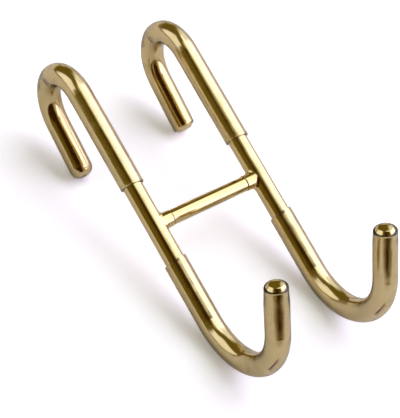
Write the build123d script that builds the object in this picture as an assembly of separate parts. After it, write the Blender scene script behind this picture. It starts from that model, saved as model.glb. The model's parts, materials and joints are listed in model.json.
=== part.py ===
from build123d import *
import os

# Over-door double hook: two bent rods, a crossbar brazed between them, and a clear
# plastic sleeve shrunk over each end of each rod. All sizes are in millimetres.
#
# The hook hangs on a door. The origin is midway between the two rods, at the underside
# of the door bends, where the top edge of the door sits. +Z is up, +Y points through
# the door to its far side, and the coat hooks reach out towards -Y.

# Bent rods
rod_diameter = 6.0
hook_spacing = 38.0
door_bend_radius = 11.4
door_bend_angle = 174.0
door_leg_length = 17.5
shank_length = 76.3
coat_bend_radius = 19.9
coat_bend_angle = 129.0
left_coat_tip_length = 16.8
right_coat_tip_length = 17.6
rod_end_chamfer = 1.0
rod_end_softening = 0.4

# Crossbar, and the stubs on the shanks that carry it
crossbar_drop = 44.4
crossbar_diameter = 4.6
crossbar_edge_chamfer = 0.15
stub_length = 2.6
stub_step = 0.15
stub_fillet = 1.2
spigot_diameter = 3.0
spigot_length = 4.0
spigot_clearance = 0.05
socket_end_gap = 0.2

# Clear sleeves
sleeve_wall = 0.6
sleeve_clearance = 0.025
sleeve_edge_chamfer = 0.12
bare_rod_end = 1.0
door_sleeve_above_crossbar = 12.9
left_coat_sleeve_below_crossbar = 11.8
right_coat_sleeve_below_crossbar = 12.4
curled_end_overrun = 0.5
curled_end_rounding = 2.6
curled_end_mouth_diameter = 2.4

# Worked out from the sizes above
rod_radius = rod_diameter / 2
sleeve_bore_radius = rod_radius + sleeve_clearance
sleeve_radius = sleeve_bore_radius + sleeve_wall
shank_y = -door_bend_radius
door_bend_z = sleeve_radius - door_bend_radius
coat_bend_y = shank_y - coat_bend_radius
coat_bend_z = door_bend_z - shank_length
crossbar_z = door_bend_z - crossbar_drop
door_sleeve_z = crossbar_z + door_sleeve_above_crossbar
stub_reach = rod_radius + stub_length
stub_radius = crossbar_diameter / 2 + stub_step
spigot_radius = spigot_diameter / 2
crossbar_length = hook_spacing - 2 * stub_reach

# A hook is drawn flat, with local X as the model's Y and local Y as the model's Z, and
# each finished solid is then stood up at its place across the door.
door_bend = CenterArc((0, door_bend_z), door_bend_radius, 180, -door_bend_angle)
coat_bend = CenterArc((coat_bend_y, coat_bend_z), coat_bend_radius, 0, -coat_bend_angle)


def straight_on(bend, length):
    # the straight run that leaves the far end of a bend along its tangent
    return Line(bend @ 1, bend @ 1 + (bend % 1) * length)


def round_bar(path, radius):
    return sweep(Plane(path @ 0, z_dir=path % 0) * Circle(radius), path)


def bend_run(bend, start_z, length):
    # from a height on the shank, round a bend and on along its straight end
    return Wire([Line((shank_y, start_z), bend @ 0), bend, straight_on(bend, length)])


def rim_at(solid, point):
    # the edges round the flat end face whose centre is at the point
    return solid.faces().filter_by(GeomType.PLANE).sort_by_distance(point)[0].edges()


def dressed_end(rod, point):
    # a turned chamfer on the rod's end, with the rim of its face polished over
    rod = chamfer(rim_at(rod, point), rod_end_chamfer)
    return fillet(rim_at(rod, point), rod_end_softening)


def bent_rod(coat_tip_length):
    leg = straight_on(door_bend, door_leg_length)
    tip = straight_on(coat_bend, coat_tip_length)
    shank = Line(door_bend @ 0, coat_bend @ 0)
    rod = round_bar(Wire([leg, door_bend, shank, coat_bend, tip]), rod_radius)
    return dressed_end(dressed_end(rod, leg @ 1), tip @ 1)


def hook_plane(side):
    # side is -1 for the left hook and 1 for the right hook
    return Plane((side * hook_spacing / 2, 0, 0), x_dir=(0, 1, 0), z_dir=(1, 0, 0))


def stub_plane(side):
    # on the shank's axis at the crossbar, facing the other hook
    return Plane((side * hook_spacing / 2, shank_y, crossbar_z), z_dir=(-side, 0, 0))


def hook_rod(side, coat_tip_length):
    # the bent rod with a stub whose root is filleted into the shank
    from_base = (Align.CENTER, Align.CENTER, Align.MIN)
    place = stub_plane(side)
    rod = hook_plane(side) * bent_rod(coat_tip_length)
    stub = place * Cylinder(stub_radius, stub_reach, align=from_base)
    old_edges = rod.edges() + stub.edges()
    joined = rod + stub
    root = joined.edges() - old_edges
    root = root.filter_by(lambda edge: edge.geom_type not in (GeomType.CIRCLE, GeomType.LINE))
    joined = fillet(root, stub_fillet)
    stub_face = place.origin + place.z_dir * stub_reach
    joined = chamfer(rim_at(joined, stub_face), crossbar_edge_chamfer)
    socket_depth = spigot_length + socket_end_gap
    socket = Cylinder(spigot_radius + spigot_clearance, socket_depth, align=from_base)
    return joined - Plane(stub_face, z_dir=(side, 0, 0)) * socket


def crossbar():
    # a turned bar that meets the stubs at its shoulders, with a spigot at each end
    centre = Plane((0, shank_y, crossbar_z), z_dir=(1, 0, 0))
    bar = chamfer(Cylinder(crossbar_diameter / 2, crossbar_length).edges(), crossbar_edge_chamfer)
    spigots = Cylinder(spigot_radius, crossbar_length + 2 * spigot_length)
    return centre * (bar + spigots)


def sleeve(bend, start_z, length):
    # an open-ended sleeve with its cut edges just broken
    run = bend_run(bend, start_z, length)
    skin = round_bar(run, sleeve_radius)
    skin = chamfer(rim_at(skin, run @ 0) + rim_at(skin, run @ 1), sleeve_edge_chamfer)
    return skin - round_bar(run, sleeve_bore_radius)


def curled_sleeve(bend, start_z, length):
    # a sleeve that runs past the rod's end and has curled in over it
    run = bend_run(bend, start_z, length + curled_end_overrun)
    skin = round_bar(run, sleeve_radius)
    skin = chamfer(rim_at(skin, run @ 0), sleeve_edge_chamfer)
    skin = fillet(rim_at(skin, run @ 1), curled_end_rounding)
    bore_run = bend_run(bend, start_z, length + sleeve_clearance)
    bore = round_bar(bore_run, sleeve_bore_radius)
    bore = chamfer(rim_at(bore, bore_run @ 1), rod_end_chamfer)
    mouth = Plane(run @ 1, z_dir=run % 1) * Cylinder(curled_end_mouth_diameter / 2, sleeve_radius)
    return skin - bore - mouth


os.makedirs("parts", exist_ok=True)
door_sleeve_length = door_leg_length - bare_rod_end
left_coat_sleeve_length = left_coat_tip_length - bare_rod_end
right_coat_sleeve_length = right_coat_tip_length - bare_rod_end
left_coat_sleeve_z = crossbar_z - left_coat_sleeve_below_crossbar
right_coat_sleeve_z = crossbar_z - right_coat_sleeve_below_crossbar
left, right = -1, 1
left_coat_sleeve = sleeve(coat_bend, left_coat_sleeve_z, left_coat_sleeve_length)
right_coat_sleeve = sleeve(coat_bend, right_coat_sleeve_z, right_coat_sleeve_length)
parts = {
    "left_hook_rod": hook_rod(left, left_coat_tip_length),
    "right_hook_rod": hook_rod(right, right_coat_tip_length),
    "crossbar": crossbar(),
    "left_door_sleeve": hook_plane(left) * curled_sleeve(door_bend, door_sleeve_z, door_leg_length),
    "right_door_sleeve": hook_plane(right) * sleeve(door_bend, door_sleeve_z, door_sleeve_length),
    "left_coat_sleeve": hook_plane(left) * left_coat_sleeve,
    "right_coat_sleeve": hook_plane(right) * right_coat_sleeve,
}
for name, solid in parts.items():
    export_step(solid, f"parts/{name}.step")
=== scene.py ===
import json
import math

import bpy
from mathutils import Matrix, Vector


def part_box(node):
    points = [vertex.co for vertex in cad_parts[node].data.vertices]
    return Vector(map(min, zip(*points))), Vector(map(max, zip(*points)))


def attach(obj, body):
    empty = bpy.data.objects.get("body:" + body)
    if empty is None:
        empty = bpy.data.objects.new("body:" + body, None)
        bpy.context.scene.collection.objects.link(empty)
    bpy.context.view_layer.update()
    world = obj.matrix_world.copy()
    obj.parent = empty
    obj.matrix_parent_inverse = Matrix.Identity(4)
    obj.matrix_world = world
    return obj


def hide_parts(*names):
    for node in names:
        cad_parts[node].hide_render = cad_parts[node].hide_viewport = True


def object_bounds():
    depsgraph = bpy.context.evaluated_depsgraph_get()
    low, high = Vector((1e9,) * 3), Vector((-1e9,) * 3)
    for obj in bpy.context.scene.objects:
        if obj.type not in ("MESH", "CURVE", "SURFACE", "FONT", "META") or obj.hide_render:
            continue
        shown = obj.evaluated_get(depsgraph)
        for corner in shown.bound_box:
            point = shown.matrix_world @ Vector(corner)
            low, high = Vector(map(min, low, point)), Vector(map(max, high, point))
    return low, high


# Over-door double hook: two bent brass rods, a crossbar and four clear shrunk sleeves,
# lying on a white sheet beside a wide window. Sizes are in metres, angles in degrees.
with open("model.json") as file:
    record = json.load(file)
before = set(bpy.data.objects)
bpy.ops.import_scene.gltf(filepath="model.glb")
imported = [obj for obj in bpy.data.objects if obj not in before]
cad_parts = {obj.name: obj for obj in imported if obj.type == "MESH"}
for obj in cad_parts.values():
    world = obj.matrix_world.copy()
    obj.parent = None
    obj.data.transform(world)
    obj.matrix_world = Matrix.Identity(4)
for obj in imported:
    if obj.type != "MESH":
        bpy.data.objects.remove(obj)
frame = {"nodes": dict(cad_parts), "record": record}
cadLow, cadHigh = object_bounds()
mm = 0.001


# Where the CAD pieces are
def verticesOf(node):
    return [vertex.co.copy() for vertex in frame["nodes"][node].data.vertices]


def mountPoint(name):
    for mount in frame["record"]["mounts"]:
        if mount["name"] == name:
            return Vector(mount["pos_m"])


sleeveRadius = (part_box("right_coat_sleeve")[1].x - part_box("right_coat_sleeve")[0].x) / 2
hookX = mountPoint("right_coat_seat").x
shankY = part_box("right_coat_sleeve")[1].y - sleeveRadius
crossbarZ = sum(corner.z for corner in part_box("crossbar")) / 2
doorBendRadius = -shankY
doorBendZ = sleeveRadius - doorBendRadius
coatBendY = mountPoint("right_coat_seat").y
coatBendRadius = shankY - coatBendY
coatBendZ = mountPoint("right_coat_seat").z + coatBendRadius - sleeveRadius
rodRadius = 3.0 * mm
doorBendAngle = 174
coatBendAngle = 129

# The table touches the outside of the coat bends and the corner of the door legs
legCorner = max(verticesOf("right_door_sleeve"), key=lambda corner: corner.y)
reachY = legCorner.y - coatBendY
reachZ = legCorner.z - coatBendZ
bendOutside = coatBendRadius + sleeveRadius
tableTilt = math.atan2(reachZ, reachY) - math.acos(bendOutside / math.hypot(reachY, reachZ))
tableNormal = Vector((0, -math.cos(tableTilt), -math.sin(tableTilt)))
tableDistance = -tableNormal.dot(legCorner)

# Camera at the photo's angle
cameraView = {
    "lookAt": (-6.659 * mm, -17.252 * mm, -54.554 * mm),
    "azimuth": -27.846,
    "elevation": -9.571,
    "roll": -29.897,
    "distance": 561.02 * mm,
    "lens": 167.625,
    "sensor": 36.0,
    "nearest": 10 * mm,
    "farthest": 20.0,
}


def addCamera(view):
    azimuth = math.radians(view["azimuth"])
    elevation = math.radians(view["elevation"])
    roll = math.radians(view["roll"])
    back = Vector((
        math.sin(azimuth) * math.cos(elevation),
        -math.cos(azimuth) * math.cos(elevation),
        math.sin(elevation),
    ))
    level = Vector((0, 0, 1)).cross(back).normalized()
    upright = back.cross(level)
    right = level * math.cos(roll) + upright * math.sin(roll)
    up = back.cross(right)
    place = Vector(view["lookAt"]) + back * view["distance"]
    bpy.ops.object.camera_add()
    camera = bpy.context.object
    camera.name = "photoCamera"
    facing = Matrix((right, up, back)).transposed().to_4x4()
    camera.matrix_world = Matrix.Translation(place) @ facing
    camera.data.lens = view["lens"]
    camera.data.sensor_width = view["sensor"]
    camera.data.clip_start = view["nearest"]
    camera.data.clip_end = view["farthest"]
    bpy.context.scene.camera = camera
    return back


towardsCamera = addCamera(cameraView)
tableFront = (towardsCamera - tableNormal * towardsCamera.dot(tableNormal)).normalized()
tableRight = tableNormal.cross(tableFront)
print("camera placed, table tilt", round(math.degrees(tableTilt), 2))


def alongTable(azimuth):
    # azimuth 0 is towards the camera along the table and 90 is to its right
    turn = math.radians(azimuth)
    return tableFront * math.cos(turn) + tableRight * math.sin(turn)


# Node helpers
def addNode(tree, kind, settings=None, **inputs):
    node = tree.nodes.new(kind)
    for name, value in (settings or {}).items():
        setattr(node, name, value)
    for name, value in inputs.items():
        connect(tree, value, node.inputs[name.replace("_", " ")])
    return node


def connect(tree, value, socket):
    if isinstance(value, bpy.types.NodeSocket):
        tree.links.new(value, socket)
    else:
        socket.default_value = value


def maths(tree, operation, first, second=0.0):
    node = addNode(tree, "ShaderNodeMath", {"operation": operation})
    connect(tree, first, node.inputs[0])
    connect(tree, second, node.inputs[1])
    return node.outputs[0]


def wrapped(tree, value, low, high):
    # an angle brought between two limits by whole turns
    node = addNode(tree, "ShaderNodeMath", {"operation": "WRAP"})
    connect(tree, value, node.inputs[0])
    connect(tree, high, node.inputs[1])
    connect(tree, low, node.inputs[2])
    return node.outputs[0]


def dotWith(tree, vector, direction):
    node = addNode(tree, "ShaderNodeVectorMath", {"operation": "DOT_PRODUCT"})
    connect(tree, vector, node.inputs[0])
    connect(tree, direction, node.inputs[1])
    return node.outputs["Value"]


def smoothRange(tree, value, low, high):
    # 0 at the first limit and 1 at the second, eased at both
    node = addNode(
        tree, "ShaderNodeMapRange", {"interpolation_type": "SMOOTHSTEP"},
        Value=value, From_Min=low, From_Max=high)
    return node.outputs["Result"]


def lengthOf(tree, vector):
    node = addNode(tree, "ShaderNodeVectorMath", {"operation": "LENGTH"})
    connect(tree, vector, node.inputs[0])
    return node.outputs["Value"]


def fromPlace(tree, vector, place):
    node = addNode(tree, "ShaderNodeVectorMath", {"operation": "SUBTRACT"})
    connect(tree, vector, node.inputs[0])
    connect(tree, place, node.inputs[1])
    return node.outputs[0]


# Where a Mix node takes its two inputs and gives its result, for values and for colours
mixSockets = {"FLOAT": (2, 3, 0), "RGBA": (6, 7, 2)}


def mixed(tree, kind, factor, first, second):
    node = addNode(tree, "ShaderNodeMix", {"data_type": kind})
    firstSocket, secondSocket, resultSocket = mixSockets[kind]
    connect(tree, factor, node.inputs["Factor"])
    connect(tree, first, node.inputs[firstSocket])
    connect(tree, second, node.inputs[secondSocket])
    return node.outputs[resultSocket]


def mixValues(tree, factor, first, second):
    return mixed(tree, "FLOAT", factor, first, second)


def mixColours(tree, factor, first, second):
    return mixed(tree, "RGBA", factor, first, second)


def evenNoise(tree, place, scale, detail):
    # noise that swings as far below nought as above it
    noise = addNode(tree, "ShaderNodeTexNoise", Vector=place, Scale=scale, Detail=detail)
    return maths(tree, "SUBTRACT", noise.outputs["Fac"], 0.5)


def raised(tree, height):
    # the normal of a surface that is raised by a height in metres
    return addNode(tree, "ShaderNodeBump", Strength=1.0, Distance=1.0, Height=height).outputs[0]


def newMaterial(name):
    material = bpy.data.materials.new(name)
    material.use_nodes = True
    material.node_tree.nodes.clear()
    return material


def seenDirectly(tree):
    # 1 for camera rays, also those that have only passed through clear plastic
    path = addNode(tree, "ShaderNodeLightPath")
    noBounce = 0.5  # a count of bounces below this is none
    unreflected = maths(tree, "LESS_THAN", path.outputs["Glossy Depth"], noBounce)
    unscattered = maths(tree, "LESS_THAN", path.outputs["Diffuse Depth"], noBounce)
    clear = maths(tree, "MULTIPLY", unreflected, unscattered)
    through = maths(tree, "MULTIPLY", path.outputs["Is Transmission Ray"], clear)
    return maths(tree, "MAXIMUM", path.outputs["Is Camera Ray"], through)


# Studio: a white sheet on a table, inside a room with a wide window, a fill panel and a
# dark side behind the camera
studio = {
    "sheetSize": 4.0,
    "sheetFrontAzimuth": 20,
    "sheetFrontReach": 0.145,
    "sheetColour": (1.60, 1.62, 1.54, 1),
    # painted shade and painted light in the sheet's reflected colour: darker on the far side,
    # lighter towards the window
    "sheetFarSideShade": (0.88, 0.87, 0.78, 1),
    "sheetWindowSideLight": (0.89, 0.90, 0.84, 1),
    # painted shade: the sheet is seen darker towards its front edge in reflections
    "sheetFrontEdgeShade": (0.16, 0.11, 0.02, 1),
    "sheetFrontShadeFade": 0.05,
    "sheetGlow": 0.07,
    "windowAzimuth": 105,
    "windowSideFrom": -20 * mm,
    "windowSideTo": 80 * mm,
    "background": (1, 1, 1, 1),
    "roomColour": (0.165, 0.122, 0.016, 1),
}
roomPatches = {
    "darkSide": {
        "azimuth": 10, "elevation": 20, "width": 92, "height": 112, "edge": 26,
        "colour": (0.036, 0.010, 0.0, 1)},
    "frontFloor": {
        "azimuth": -8, "elevation": -26, "width": 44, "height": 36, "edge": 8,
        "colour": (0.30, 0.24, 0.06, 1)},
    "nearWall": {
        "azimuth": 53, "elevation": 9, "width": 26, "height": 50, "edge": 8,
        "colour": (0.60, 0.54, 0.38, 1)},
    "overhead": {
        "azimuth": 0, "elevation": 90, "width": 720, "height": 26, "edge": 8,
        "colour": (0.56, 0.55, 0.50, 1)},
    "windowEnd": {
        "azimuth": 160, "elevation": 38, "width": 38, "height": 62, "edge": 12,
        "colour": (1.10, 1.15, 1.30, 1)},
    "window": {
        "azimuth": 110, "elevation": 29, "width": 88, "height": 48, "edge": 8,
        "colour": (2.20, 2.06, 2.84, 1)},
    "windowTop": {
        "azimuth": 142, "elevation": 72, "width": 104, "height": 40, "edge": 8,
        "colour": (1.70, 1.75, 1.95, 1)},
    "windowCrown": {
        "azimuth": 110, "elevation": 84, "width": 116, "height": 16, "edge": 6,
        "colour": (1.50, 1.60, 1.80, 1)},
    "fillPanel": {
        "azimuth": -86, "elevation": 31, "width": 54, "height": 50, "edge": 10,
        "colour": (1.18, 1.20, 1.30, 1)},
}


def addTable():
    bpy.ops.mesh.primitive_plane_add(size=studio["sheetSize"])
    table = bpy.context.object
    table.name = "table"
    outwards = alongTable(studio["sheetFrontAzimuth"])
    sideways = tableNormal.cross(outwards)
    table.data.transform(Matrix((outwards, sideways, tableNormal)).transposed().to_4x4())
    shift = outwards * (studio["sheetFrontReach"] - studio["sheetSize"] / 2)
    middle = (cadLow + cadHigh) / 2
    middle -= tableNormal * (middle.dot(tableNormal) + tableDistance)
    table.data.transform(Matrix.Translation(middle + shift))
    table.data.materials.append(sheetMaterial(middle, outwards))


def sheetMaterial(middle, outwards):
    # white paper to the camera; in what the hook reflects it carries painted light and shade,
    # lighter towards the window, darker on the far side and darker still towards its front edge;
    # clear from below
    material = newMaterial("whiteSheet")
    tree = material.node_tree
    direct = seenDirectly(tree)
    place = addNode(tree, "ShaderNodeTexCoord").outputs["Object"]
    # painted light and shade: the reflected sheet is lighter towards the window and darker on the
    # far side
    windowSide = alongTable(studio["windowAzimuth"])
    nearWindow = maths(tree, "SUBTRACT", dotWith(tree, place, windowSide), middle.dot(windowSide))
    windowLightShare = smoothRange(tree, nearWindow, studio["windowSideFrom"], studio["windowSideTo"])
    reflected = mixColours(tree, windowLightShare, studio["sheetFarSideShade"], studio["sheetWindowSideLight"])
    # painted shade: darker towards the sheet's front edge
    reach = studio["sheetFrontReach"]
    forwards = maths(tree, "SUBTRACT", dotWith(tree, place, outwards), middle.dot(outwards))
    frontEdgeShade = smoothRange(tree, forwards, reach - studio["sheetFrontShadeFade"], reach)
    reflected = mixColours(tree, frontEdgeShade, reflected, studio["sheetFrontEdgeShade"])
    colour = mixColours(tree, direct, reflected, studio["sheetColour"])
    paper = addNode(tree, "ShaderNodeBsdfDiffuse", Color=colour)
    strength = maths(tree, "MULTIPLY", direct, studio["sheetGlow"])
    glow = addNode(tree, "ShaderNodeEmission", Color=studio["background"], Strength=strength)
    lit = addNode(tree, "ShaderNodeAddShader")
    connect(tree, paper.outputs[0], lit.inputs[0])
    connect(tree, glow.outputs[0], lit.inputs[1])
    clear = addNode(tree, "ShaderNodeBsdfTransparent")
    side = addNode(tree, "ShaderNodeNewGeometry")
    shown = addNode(tree, "ShaderNodeMixShader")
    connect(tree, side.outputs["Backfacing"], shown.inputs[0])
    connect(tree, lit.outputs[0], shown.inputs[1])
    connect(tree, clear.outputs[0], shown.inputs[2])
    addNode(tree, "ShaderNodeOutputMaterial", Surface=shown.outputs[0])
    return material


def within(tree, offset, size, edge):
    # 1 where the offset from a patch's middle is inside its size, fading over the edge
    away = maths(tree, "ABSOLUTE", offset)
    return smoothRange(tree, away, size / 2 + edge / 2, size / 2 - edge / 2)


def addRoom():
    world = bpy.data.worlds.new("room")
    bpy.context.scene.world = world
    world.use_nodes = True
    tree = world.node_tree
    tree.nodes.clear()
    direction = addNode(tree, "ShaderNodeTexCoord").outputs["Generated"]
    towardsFront = dotWith(tree, direction, tableFront)
    towardsRight = dotWith(tree, direction, tableRight)
    azimuth = maths(tree, "DEGREES", maths(tree, "ARCTAN2", towardsRight, towardsFront))
    towardsTop = dotWith(tree, direction, tableNormal)
    elevation = maths(tree, "DEGREES", maths(tree, "ARCSINE", towardsTop))
    colour = studio["roomColour"]
    for patch in roomPatches.values():
        beside = maths(tree, "SUBTRACT", azimuth, patch["azimuth"])
        across = within(tree, wrapped(tree, beside, -180, 180), patch["width"], patch["edge"])
        lifted = maths(tree, "SUBTRACT", elevation, patch["elevation"])
        upwards = within(tree, lifted, patch["height"], patch["edge"])
        onPatch = maths(tree, "MULTIPLY", across, upwards)
        colour = mixColours(tree, onPatch, colour, patch["colour"])
    colour = mixColours(tree, seenDirectly(tree), colour, studio["background"])
    surface = addNode(tree, "ShaderNodeBackground", Color=colour)
    addNode(tree, "ShaderNodeOutputWorld", Surface=surface.outputs[0])


addTable()
addRoom()
bpy.context.scene.view_settings.view_transform = "Standard"
print("studio lit")


# The two bends that rods and sleeves follow
def bendFrom(centre, radius, heading, degrees):
    # where a bend ends and which way it goes on, for a rod that reaches it heading up or down
    turn = math.radians(degrees)
    side = math.copysign(1, centre.y - shankY)
    onward = Vector((0, side * math.sin(turn), heading * math.cos(turn)))
    end = centre + Vector((0, -side * math.cos(turn), heading * math.sin(turn))) * radius

    def isPast(corner):
        return (corner.y - centre.y) * side > 0

    return {
        "centre": centre, "radius": radius, "side": side, "heading": heading,
        "turn": turn, "onward": onward, "end": end, "isPast": isPast}


doorBend = bendFrom(Vector((0, 0, doorBendZ)), doorBendRadius, 1, doorBendAngle)
coatBend = bendFrom(Vector((0, coatBendY, coatBendZ)), coatBendRadius, -1, coatBendAngle)

# Effects that the brass and the sleeves share, each as a node group
sharedEffects = {
    "bendAnglesFrom": -100,  # the shank before a bend counts as less than 0
    "bendAnglesTo": 260,
    "lineStretch": 0.012,  # of the pattern along a rod, against across it
    "lineDetail": 2.0,
    "waveDetail": 1.5,
    "smudgeDetail": 4.0,
    "smudgeRoughness": 0.6,
    "smudgeFrom": 0.42,
    "smudgeTo": 0.72,
    "scratchTurn": (0.5, 0.9, 0.3),
    "scratchStretch": (1.0, 14.0, 14.0),
    "scratchScale": 190.0,
    "scratchDetail": 1.0,
    "scratchFrom": 0.66,
    "scratchTo": 0.72,
}


def newGroup(name, inputs, outputs):
    group = bpy.data.node_groups.new(name, "ShaderNodeTree")
    for label, kind in inputs.items():
        group.interface.new_socket(name=label, in_out="INPUT", socket_type="NodeSocket" + kind)
    for label in outputs:
        group.interface.new_socket(name=label, in_out="OUTPUT", socket_type="NodeSocketFloat")
    given = addNode(group, "NodeGroupInput").outputs
    result = addNode(group, "NodeGroupOutput").inputs
    return group, given, result


def useGroup(tree, group, **inputs):
    return addNode(tree, "ShaderNodeGroup", {"node_tree": group}, **inputs).outputs


def followBend(tree, y, z, bend):
    # outwards from the rod's axis and along it, on the shank, round the bend and past it
    inPlane = maths(tree, "MULTIPLY", maths(tree, "SUBTRACT", y, bend["centre"].y), -bend["side"])
    ahead = maths(tree, "MULTIPLY", maths(tree, "SUBTRACT", z, bend["centre"].z), bend["heading"])
    lowest = math.radians(sharedEffects["bendAnglesFrom"])
    highest = math.radians(sharedEffects["bendAnglesTo"])
    angle = wrapped(tree, maths(tree, "ARCTAN2", ahead, inPlane), lowest, highest)
    turn = maths(tree, "MINIMUM", maths(tree, "MAXIMUM", angle, 0.0), bend["turn"])
    cosine = maths(tree, "COSINE", turn)
    sine = maths(tree, "SINE", turn)
    fromCentre = maths(
        tree, "ADD",
        maths(tree, "MULTIPLY", inPlane, cosine), maths(tree, "MULTIPLY", ahead, sine))
    past = maths(
        tree, "SUBTRACT",
        maths(tree, "MULTIPLY", ahead, cosine), maths(tree, "MULTIPLY", inPlane, sine))
    offAxis = maths(tree, "SUBTRACT", fromCentre, bend["radius"])
    outward = maths(tree, "MULTIPLY", offAxis, -bend["side"])
    onward = maths(tree, "ADD", maths(tree, "MULTIPLY", turn, bend["radius"]), past)
    along = maths(tree, "MULTIPLY", onward, bend["heading"])
    return outward, maths(tree, "ADD", along, bend["centre"].z)


def rodPlaceGroup():
    # across the rod, outwards from its bends, and along it from end to end
    outputs = ("Across", "Outward", "Along")
    group, given, result = newGroup("rodPlace", {"Place": "Vector"}, outputs)
    split = addNode(group, "ShaderNodeSeparateXYZ", Vector=given["Place"]).outputs
    across = maths(group, "SUBTRACT", maths(group, "ABSOLUTE", split["X"]), hookX)
    upper = maths(group, "GREATER_THAN", split["Z"], crossbarZ)
    doorOutward, doorAlong = followBend(group, split["Y"], split["Z"], doorBend)
    coatOutward, coatAlong = followBend(group, split["Y"], split["Z"], coatBend)
    connect(group, across, result["Across"])
    connect(group, mixValues(group, upper, coatOutward, doorOutward), result["Outward"])
    connect(group, mixValues(group, upper, coatAlong, doorAlong), result["Along"])
    return group


def drawnLinesGroup():
    # faint lines along a bar or tube, left by the die that it was drawn through
    inputs = {
        "Across": "Float", "Outward": "Float", "Along": "Float",
        "Fineness": "Float", "Depth": "Float"}
    group, given, result = newGroup("drawnLines", inputs, ("Height",))
    stretched = maths(group, "MULTIPLY", given["Along"], sharedEffects["lineStretch"])
    place = addNode(
        group, "ShaderNodeCombineXYZ", X=given["Across"], Y=given["Outward"], Z=stretched)
    lines = evenNoise(group, place.outputs[0], given["Fineness"], sharedEffects["lineDetail"])
    connect(group, maths(group, "MULTIPLY", lines, given["Depth"]), result["Height"])
    return group


def wavesGroup():
    # long shallow waves, so that reflections run a little crooked
    inputs = {"Place": "Vector", "Wavelength": "Float", "Depth": "Float"}
    group, given, result = newGroup("waves", inputs, ("Height",))
    scale = maths(group, "DIVIDE", 1.0, given["Wavelength"])
    waves = evenNoise(group, given["Place"], scale, sharedEffects["waveDetail"])
    connect(group, maths(group, "MULTIPLY", waves, given["Depth"]), result["Height"])
    return group


def marksGroup():
    # smudges from handling, and short fine scratches across them
    inputs = {"Place": "Vector", "Smudge Size": "Float"}
    group, given, result = newGroup("handlingMarks", inputs, ("Smudges", "Scratches"))
    smudges = addNode(
        group, "ShaderNodeTexNoise", Vector=given["Place"],
        Scale=maths(group, "DIVIDE", 1.0, given["Smudge Size"]),
        Detail=sharedEffects["smudgeDetail"], Roughness=sharedEffects["smudgeRoughness"])
    smudged = smoothRange(
        group, smudges.outputs["Fac"], sharedEffects["smudgeFrom"], sharedEffects["smudgeTo"])
    connect(group, smudged, result["Smudges"])
    turned = addNode(
        group, "ShaderNodeMapping", Vector=given["Place"],
        Rotation=sharedEffects["scratchTurn"], Scale=sharedEffects["scratchStretch"])
    fine = addNode(
        group, "ShaderNodeTexNoise", Vector=turned.outputs[0],
        Scale=sharedEffects["scratchScale"], Detail=sharedEffects["scratchDetail"])
    scratched = smoothRange(
        group, fine.outputs["Fac"], sharedEffects["scratchFrom"], sharedEffects["scratchTo"])
    connect(group, scratched, result["Scratches"])
    return group


rodPlace = rodPlaceGroup()
drawnLines = drawnLinesGroup()
surfaceWaves = wavesGroup()
handlingMarks = marksGroup()


# Brass
brass = {
    "colour": (0.74, 0.583, 0.28, 1),
    "deepColour": (0.69, 0.535, 0.23, 1),
    "roughness": 0.075,
    "smudgedRoughness": 0.15,
    "smudgeSize": 7.0 * mm,
    "lineFineness": 2600.0,
    "lineDepth": 0.007 * mm,
    "wavelength": 9.0 * mm,
    "waveDepth": 0.12 * mm,
    "scratchDepth": 0.002 * mm,
    "endCrownRadius": 6.5 * mm,
    "endFaceRadius": 1.9 * mm,
    "endCrownDepth": 0.03 * mm,
    "roundedEndRadius": 2.6 * mm,
    "roundedEndLength": 2.4 * mm,
    "seamTarnish": (0.30, 0.20, 0.07, 1),
    "seamWidth": 0.36 * mm,
    "seamReach": 2.0,  # from the bar's axis, in bar radii
    "shoulderShare": 0.9,  # of the bar's radius, more than its chamfer leaves
}

# The rod ends whose faces are crowned; the other one is worn round
crownedEnds = [
    ("left_hook_rod", coatBend),
    ("right_hook_rod", coatBend),
    ("right_hook_rod", doorBend),
]


def rodEnd(node, bend):
    # the middle of the end face past a bend, and the way that it faces
    low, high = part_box(node)
    axis = math.copysign(hookX, low.x + high.x)
    bendEnd = bend["end"] + Vector((axis, 0, 0))
    past = [corner for corner in verticesOf(node) if bend["isPast"](corner)]
    return bendEnd + bend["onward"] * max((corner - bendEnd).dot(bend["onward"]) for corner in past)


def crownedEnd(tree, place, node, bend):
    # a rod's end face stands a little proud in its middle, like part of a ball
    radius = brass["endCrownRadius"]
    faceDepth = math.sqrt(radius ** 2 - brass["endFaceRadius"] ** 2)
    centre = rodEnd(node, bend) - bend["onward"] * (faceDepth + brass["endCrownDepth"])
    offset = fromPlace(tree, place, centre)
    proud = maths(tree, "MAXIMUM", maths(tree, "SUBTRACT", radius, lengthOf(tree, offset)), 0.0)
    beyond = maths(tree, "GREATER_THAN", dotWith(tree, offset, bend["onward"]), faceDepth)
    return maths(tree, "MULTIPLY", proud, beyond)


def roundedEnd(tree, place, node, bend):
    # a rod's end is worn round, from a little before its chamfer to the middle of its face
    centre = rodEnd(node, bend) - bend["onward"] * brass["roundedEndLength"]
    offset = fromPlace(tree, place, centre)
    away = lengthOf(tree, offset)
    fallen = maths(tree, "SUBTRACT", rodRadius ** 2, maths(tree, "MULTIPLY", away, away))
    worn = maths(tree, "DIVIDE", fallen, 2 * brass["roundedEndRadius"])
    beyond = maths(tree, "GREATER_THAN", dotWith(tree, offset, bend["onward"]), 0.0)
    near = maths(tree, "LESS_THAN", away, rodRadius + brass["roundedEndLength"])
    return maths(tree, "MULTIPLY", worn, maths(tree, "MULTIPLY", beyond, near))


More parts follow.
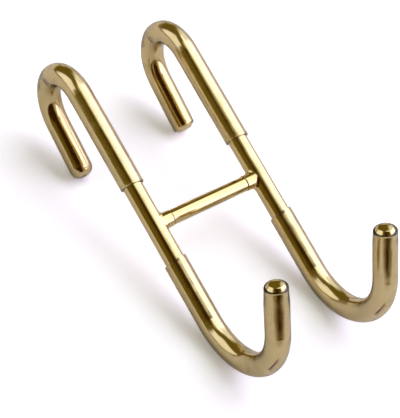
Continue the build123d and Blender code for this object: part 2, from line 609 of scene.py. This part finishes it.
def besideSeam(tree, place):
    # 1 in the groove where the crossbar's shoulder meets a stub
    offAxis = [(corner, math.hypot(corner.y - shankY, corner.z - crossbarZ))
               for corner in verticesOf("crossbar")]
    barRadius = max(away for corner, away in offAxis)
    shoulder = brass["shoulderShare"] * barRadius
    seamX = max(corner.x for corner, away in offAxis if away > shoulder)
    split = addNode(tree, "ShaderNodeSeparateXYZ", Vector=place).outputs
    fromMiddle = maths(tree, "ABSOLUTE", split["X"])
    across = maths(tree, "ABSOLUTE", maths(tree, "SUBTRACT", fromMiddle, seamX))
    inGroove = smoothRange(tree, across, brass["seamWidth"] / 2, brass["seamWidth"] / 4)
    offset = addNode(
        tree, "ShaderNodeCombineXYZ", Y=maths(tree, "SUBTRACT", split["Y"], shankY),
        Z=maths(tree, "SUBTRACT", split["Z"], crossbarZ))
    farthest = brass["seamReach"] * barRadius
    onBar = maths(tree, "LESS_THAN", lengthOf(tree, offset.outputs[0]), farthest)
    return maths(tree, "MULTIPLY", inGroove, onBar)


def brassMaterial(name, isRod):
    material = newMaterial(name)
    tree = material.node_tree
    place = addNode(tree, "ShaderNodeTexCoord").outputs["Object"]
    if isRod:
        rod = useGroup(tree, rodPlace, Place=place)
        across, outward, along = rod["Across"], rod["Outward"], rod["Along"]
    else:
        split = addNode(tree, "ShaderNodeSeparateXYZ", Vector=place).outputs
        across, outward, along = split["Y"], split["Z"], split["X"]
    lines = useGroup(
        tree, drawnLines, Across=across, Outward=outward, Along=along,
        Fineness=brass["lineFineness"], Depth=brass["lineDepth"])
    waves = useGroup(
        tree, surfaceWaves, Place=place, Wavelength=brass["wavelength"], Depth=brass["waveDepth"])
    marks = useGroup(tree, handlingMarks, Place=place, Smudge_Size=brass["smudgeSize"])
    height = maths(tree, "ADD", lines["Height"], waves["Height"])
    scratched = maths(tree, "MULTIPLY", marks["Scratches"], -brass["scratchDepth"])
    height = maths(tree, "ADD", height, scratched)
    if isRod:
        for node, bend in crownedEnds:
            height = maths(tree, "ADD", height, crownedEnd(tree, place, node, bend))
        height = maths(tree, "ADD", height, roundedEnd(tree, place, "left_hook_rod", doorBend))
    colour = mixColours(tree, marks["Smudges"], brass["colour"], brass["deepColour"])
    colour = mixColours(tree, besideSeam(tree, place), colour, brass["seamTarnish"])
    rough = mixValues(tree, marks["Smudges"], brass["roughness"], brass["smudgedRoughness"])
    surface = addNode(
        tree, "ShaderNodeBsdfPrincipled", Base_Color=colour, Roughness=rough, Metallic=1.0,
        Normal=raised(tree, height))
    addNode(tree, "ShaderNodeOutputMaterial", Surface=surface.outputs[0])
    return material


# Clear sleeves
sleeves = {
    "sides": 72,
    "contact": 0.05 * mm,
    "skinRadius": sleeveRadius - 0.008 * mm,
    "edgeRounding": 0.1 * mm,
    "edgeSegments": 3,
    "edgeAngle": 50,
    "smoothAngle": 30,
    "mergeDistance": 0.001 * mm,
    "stretch": 1.2 * mm,
    "bendStep": 3.0,
    "curlSteps": 10,
    "shrinkSteps": 6,
    "cutSlack": 0.25 * mm,
    "doorTilt": -3.0,
    "coatTilt": 7.0,
    "filledEnd": 1.2 * mm,
    "filling": 1.3,
    "tint": (0.97, 0.965, 0.95, 1),
    "cloudedTint": (0.78, 0.80, 0.86, 1),
    # painted shade along the cores of the creases
    "creasePaintedShade": (0.44, 0.25, 0.12, 1),
    "roughness": 0.035,
    "smudgedRoughness": 0.10,
    "cloudedRoughness": 0.32,
    "smudgeSize": 11.0 * mm,
    "lineFineness": 1700.0,
    "lineDepth": 0.006 * mm,
    "wavelength": 7.0 * mm,
    "waveDepth": 0.16 * mm,
    "ior": 1.5,
}

# How each sleeve closes on its rod's end: it shrinks a little, then curls in to a mouth
sleeveEnds = {
    "leftDoorSleeve": {
        "shrink": 0.0, "shrinkLength": 2.0 * mm, "past": 0.3 * mm,
        "rounding": 2.9 * mm, "mouth": 0.9 * mm, "tilt": 0.0},
    "rightDoorSleeve": {
        "shrink": 0.1 * mm, "shrinkLength": 4.0 * mm, "past": 0.3 * mm,
        "rounding": 0.75 * mm, "mouth": 2.75 * mm, "tilt": 3.0},
    "leftCoatSleeve": {
        "shrink": 0.2 * mm, "shrinkLength": 6.0 * mm, "past": 0.2 * mm,
        "rounding": 0.6 * mm, "mouth": 2.8 * mm, "tilt": 3.0},
    "rightCoatSleeve": {
        "shrink": 0.15 * mm, "shrinkLength": 5.0 * mm, "past": 0.2 * mm,
        "rounding": 0.6 * mm, "mouth": 2.85 * mm, "tilt": 3.0},
}

# Creases left where the sleeves were bent with the rods. Each lies on a bend at an angle
# round it and an angle round the rod, and runs from there to another such place.
sleeveFolds = [
    {
        "bend": doorBend, "from": (80, -78), "to": (80, -130),
        "width": 0.30 * mm, "depth": 0.10 * mm},
    {
        "bend": doorBend, "from": (94, -28), "to": (112, -92),
        "width": 0.30 * mm, "depth": 0.09 * mm},
    {
        "bend": coatBend, "from": (112, -26), "to": (93, -47),
        "width": 0.28 * mm, "depth": 0.08 * mm},
]
foldShape = {
    "fullUntil": 0.3,
    "goneFrom": 0.55,
    "nearUntil": 0.7,
    "farFrom": 1.0,
    "lipFall": 0.5,
    # how fast the painted shade along a crease's core falls off to the sides
    "coreFall": 0.8,
}

# Milky patches where the plastic was stretched or has lifted, with their reach
sleeveClouds = [
    {"bend": doorBend, "at": (88, -45), "reach": 3.6 * mm},
]
cloudShape = {
    "fullUntil": 0.35,
    "goneFrom": 1.0,
    "raggedScale": 700.0,
    "raggedDetail": 3.0,
    "raggedness": 1.4,
}


def onSleeve(bend, angle, around, hookSide):
    # a place on a sleeve's outside, from the angle round the bend and the angle round the rod
    turn = math.radians(angle)
    outward = Vector((0, -bend["side"] * math.cos(turn), bend["heading"] * math.sin(turn)))
    across = math.sin(math.radians(around))
    proud = math.cos(math.radians(around))
    axis = bend["centre"] + outward * bend["radius"] + Vector((hookSide * hookX, 0, 0))
    facing = outward * proud + Vector((across, 0, 0))
    return axis + facing * sleeveRadius, facing


def foldGroup():
    # a crease with a lip beside it, along a short line on the surface, with painted shade along its
    # core
    inputs = {
        "Place": "Vector", "Middle": "Vector", "Run": "Vector", "Cross": "Vector",
        "Length": "Float", "Width": "Float", "Depth": "Float"}
    group, given, result = newGroup("fold", inputs, ("Height", "Painted Shade"))
    offset = fromPlace(group, given["Place"], given["Middle"])
    run = maths(group, "DIVIDE", dotWith(group, offset, given["Run"]), given["Length"])
    onLine = smoothRange(
        group, maths(group, "ABSOLUTE", run), foldShape["goneFrom"], foldShape["fullUntil"])
    away = maths(group, "DIVIDE", lengthOf(group, offset), given["Length"])
    near = smoothRange(group, away, foldShape["farFrom"], foldShape["nearUntil"])
    fade = maths(group, "MULTIPLY", onLine, near)
    beside = maths(group, "DIVIDE", dotWith(group, offset, given["Cross"]), given["Width"])
    square = maths(group, "MULTIPLY", beside, beside)
    bell = maths(group, "EXPONENT", maths(group, "MULTIPLY", square, -foldShape["lipFall"]))
    lip = maths(group, "MULTIPLY", maths(group, "MULTIPLY", beside, bell), fade)
    connect(group, maths(group, "MULTIPLY", lip, given["Depth"]), result["Height"])
    # painted shade: darker along the crease's core
    coreShade = maths(group, "EXPONENT", maths(group, "MULTIPLY", square, -foldShape["coreFall"]))
    connect(group, maths(group, "MULTIPLY", coreShade, fade), result["Painted Shade"])
    return group


def cloudGroup():
    # a milky patch round a place, with a ragged edge
    inputs = {"Place": "Vector", "Middle": "Vector", "Reach": "Float"}
    group, given, result = newGroup("cloud", inputs, ("Amount",))
    offset = fromPlace(group, given["Place"], given["Middle"])
    away = maths(group, "DIVIDE", lengthOf(group, offset), given["Reach"])
    ragged = evenNoise(
        group, given["Place"], cloudShape["raggedScale"], cloudShape["raggedDetail"])
    uneven = maths(group, "MULTIPLY", ragged, cloudShape["raggedness"])
    edge = maths(group, "ADD", away, uneven)
    amount = smoothRange(group, edge, cloudShape["goneFrom"], cloudShape["fullUntil"])
    connect(group, amount, result["Amount"])
    return group


foldCrease = foldGroup()
milkyCloud = cloudGroup()


def foldsOn(tree, place, hookSide):
    # the height and the painted shade along the core of all the creases together
    height = 0.0
    paintedShade = 0.0
    for crease in sleeveFolds:
        first = onSleeve(crease["bend"], *crease["from"], hookSide)[0]
        second = onSleeve(crease["bend"], *crease["to"], hookSide)[0]
        run = (second - first).normalized()
        between = [(start + end) / 2 for start, end in zip(crease["from"], crease["to"])]
        middle, facing = onSleeve(crease["bend"], *between, hookSide)
        cross = run.cross(facing)
        made = useGroup(
            tree, foldCrease, Place=place, Middle=middle, Run=run, Cross=cross.normalized(),
            Length=(second - first).length, Width=crease["width"], Depth=crease["depth"])
        height = maths(tree, "ADD", made["Height"], height)
        paintedShade = maths(tree, "MAXIMUM", made["Painted Shade"], paintedShade)
    return height, paintedShade


def cloudsOn(tree, place, hookSide):
    amount = 0.0
    for patch in sleeveClouds:
        centre = onSleeve(patch["bend"], *patch["at"], hookSide)[0]
        made = useGroup(tree, milkyCloud, Place=place, Middle=centre, Reach=patch["reach"])
        amount = maths(tree, "MAXIMUM", made["Amount"], amount)
    return amount


def sleeveMaterial(name, hookSide):
    material = newMaterial(name)
    tree = material.node_tree
    place = addNode(tree, "ShaderNodeTexCoord").outputs["Object"]
    rod = useGroup(tree, rodPlace, Place=place)
    lines = useGroup(
        tree, drawnLines, Across=rod["Across"], Outward=rod["Outward"], Along=rod["Along"],
        Fineness=sleeves["lineFineness"], Depth=sleeves["lineDepth"])
    waves = useGroup(
        tree, surfaceWaves, Place=place,
        Wavelength=sleeves["wavelength"], Depth=sleeves["waveDepth"])
    marks = useGroup(tree, handlingMarks, Place=place, Smudge_Size=sleeves["smudgeSize"])
    clouds = cloudsOn(tree, place, hookSide)
    folded, creaseShade = foldsOn(tree, place, hookSide)
    height = maths(tree, "ADD", lines["Height"], waves["Height"])
    height = maths(tree, "ADD", height, folded)
    rough = mixValues(tree, marks["Smudges"], sleeves["roughness"], sleeves["smudgedRoughness"])
    rough = mixValues(tree, clouds, rough, sleeves["cloudedRoughness"])
    colour = mixColours(tree, clouds, sleeves["tint"], sleeves["cloudedTint"])
    # painted shade darkens the plastic along the creases
    colour = mixColours(tree, creaseShade, colour, sleeves["creasePaintedShade"])
    surface = addNode(
        tree, "ShaderNodeBsdfPrincipled", Base_Color=colour, Roughness=rough, IOR=sleeves["ior"],
        Transmission_Weight=1.0, Normal=raised(tree, height))
    addNode(tree, "ShaderNodeOutputMaterial", Surface=surface.outputs[0])
    return material


rodBrass = brassMaterial("rodBrass", True)
frame["nodes"]["left_hook_rod"].data.materials[0] = rodBrass
frame["nodes"]["right_hook_rod"].data.materials[0] = rodBrass
frame["nodes"]["crossbar"].data.materials[0] = brassMaterial("crossbarBrass", False)
print("brass finished")


def drawOn(way, steps=1):
    # carries the selected ring on along a straight way
    for step in range(steps):
        bpy.ops.mesh.extrude_region_move(TRANSFORM_OT_translate={"value": way / steps})


def resizeRing(factor, centre):
    bpy.ops.transform.resize(value=(factor, factor, factor), center_override=centre)


def tiltRing(degrees, centre):
    # a scissor cut that isn't quite square
    bpy.ops.transform.rotate(value=math.radians(degrees), orient_axis="Y", center_override=centre)


def curlSweep(shape):
    # how far round its arc the curl goes before the mouth
    shrunk = sleeves["skinRadius"] - shape["shrink"]
    return math.acos((shape["mouth"] - shrunk + shape["rounding"]) / shape["rounding"])


def closeOver(onward, end, shape):
    # the sleeve shrinks tighter towards its end, then curls in along an arc
    steps = sleeves["shrinkSteps"]
    radius = sleeves["skinRadius"]
    for step in range(1, steps + 1):
        advance = onward * shape["shrinkLength"] / steps
        drawOn(advance)
        end += advance
        eased = math.sin(math.pi / 2 * step / steps) ** 2
        newRadius = sleeves["skinRadius"] - shape["shrink"] * eased
        resizeRing(newRadius / radius, end)
        radius = newRadius
    tiltRing(shape["tilt"], end)
    steps = sleeves["curlSteps"]
    corner = shape["rounding"]
    arcCentre = radius - corner
    for step in range(1, steps + 1):
        before = curlSweep(shape) * (step - 1) / steps
        after = curlSweep(shape) * step / steps
        advance = onward * corner * (math.sin(after) - math.sin(before))
        drawOn(advance)
        end += advance
        newRadius = arcCentre + corner * math.cos(after)
        resizeRing(newRadius / radius, end)
        radius = newRadius


def drawSkin(name, node, bend, startTilt):
    # a ring at the cut end, drawn along the shank, spun round the bend and drawn on
    low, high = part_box(node)
    centreX = (low.x + high.x) / 2
    startZ = low.z if bend["heading"] > 0 else high.z
    start = Vector((centreX, shankY, startZ))
    bpy.ops.object.select_all(action="DESELECT")
    bpy.ops.mesh.primitive_circle_add(
        vertices=sleeves["sides"], radius=sleeves["skinRadius"], location=start)
    tube = bpy.context.object
    tube.name = name
    bpy.ops.object.transform_apply(location=True)
    bpy.ops.object.mode_set(mode="EDIT")
    bpy.ops.mesh.select_all(action="SELECT")
    tiltRing(startTilt, start)
    inset = Vector((0, 0, bend["heading"] * sleeves["cutSlack"]))
    bpy.ops.transform.translate(value=inset)
    drawOn(Vector((0, 0, bend["heading"] * sleeves["stretch"])))
    reached = start + inset + Vector((0, 0, bend["heading"] * sleeves["stretch"]))
    tiltRing(-startTilt, reached)
    straight = Vector((0, 0, bend["centre"].z - reached.z))
    drawOn(straight, round(straight.length / sleeves["stretch"]))
    centre = bend["centre"] + Vector((centreX, 0, 0))
    bendSteps = round(math.degrees(bend["turn"]) / sleeves["bendStep"])
    bpy.ops.mesh.spin(steps=bendSteps, angle=bend["turn"], center=centre, axis=(1, 0, 0))
    onward = bend["onward"]
    bendEnd = bend["end"] + Vector((centreX, 0, 0))
    past = [corner for corner in verticesOf(node) if bend["isPast"](corner)]
    tip = max((corner - bendEnd).dot(onward) for corner in past)
    shape = sleeveEnds[name]
    tail = shape["shrinkLength"] + shape["rounding"] * math.sin(curlSweep(shape)) - shape["past"]
    drawOn(onward * (tip - tail), round((tip - tail) / sleeves["stretch"]))
    closeOver(onward, bendEnd + onward * (tip - tail), shape)
    bpy.ops.mesh.select_all(action="SELECT")
    bpy.ops.mesh.remove_doubles(threshold=sleeves["mergeDistance"])
    bpy.ops.mesh.normals_make_consistent(inside=False)
    bpy.ops.object.mode_set(mode="OBJECT")
    return tube, bendEnd, tip


def thicken(tube, bend, bendEnd, filledFrom):
    # a wall inwards from the skin, thicker near the tip so that it fills the curled end
    thickness = sleeves["skinRadius"] - rodRadius + sleeves["contact"]
    share = tube.vertex_groups.new(name="wallShare")
    for vertex in tube.data.vertices:
        beyond = (vertex.co - bendEnd).dot(bend["onward"])
        isFilled = bend["isPast"](vertex.co) and beyond > filledFrom
        share.add([vertex.index], 1.0 if isFilled else 1 / (1 + sleeves["filling"]), "REPLACE")
    wall = tube.modifiers.new("wall", "SOLIDIFY")
    wall.thickness = thickness * (1 + sleeves["filling"])
    wall.vertex_group = share.name
    wall.offset = -1
    bpy.ops.object.modifier_apply(modifier=wall.name)
    tube.vertex_groups.clear()


def roundEdges(tube):
    edges = tube.modifiers.new("edges", "BEVEL")
    edges.width = sleeves["edgeRounding"]
    edges.segments = sleeves["edgeSegments"]
    edges.limit_method = "ANGLE"
    edges.angle_limit = math.radians(sleeves["edgeAngle"])
    bpy.ops.object.modifier_apply(modifier=edges.name)
    bpy.ops.object.shade_smooth_by_angle(angle=math.radians(sleeves["smoothAngle"]))


def sleeve(name, node, bend, startTilt, material):
    # one clear sleeve, in place of the CAD's
    tube, bendEnd, tip = drawSkin(name, node, bend, startTilt)
    filledLength = max(sleeveEnds[name]["rounding"], sleeves["filledEnd"])
    thicken(tube, bend, bendEnd, tip - filledLength)
    roundEdges(tube)
    tube.data.materials.append(material)
    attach(tube, "root")
    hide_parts(node)


for side, hookSide in (("left", -1), ("right", 1)):
    clearPlastic = sleeveMaterial(side + "ClearPlastic", hookSide)
    sleeve(side + "DoorSleeve", side + "_door_sleeve", doorBend, sleeves["doorTilt"], clearPlastic)
    sleeve(side + "CoatSleeve", side + "_coat_sleeve", coatBend, sleeves["coatTilt"], clearPlastic)
print("sleeves made")
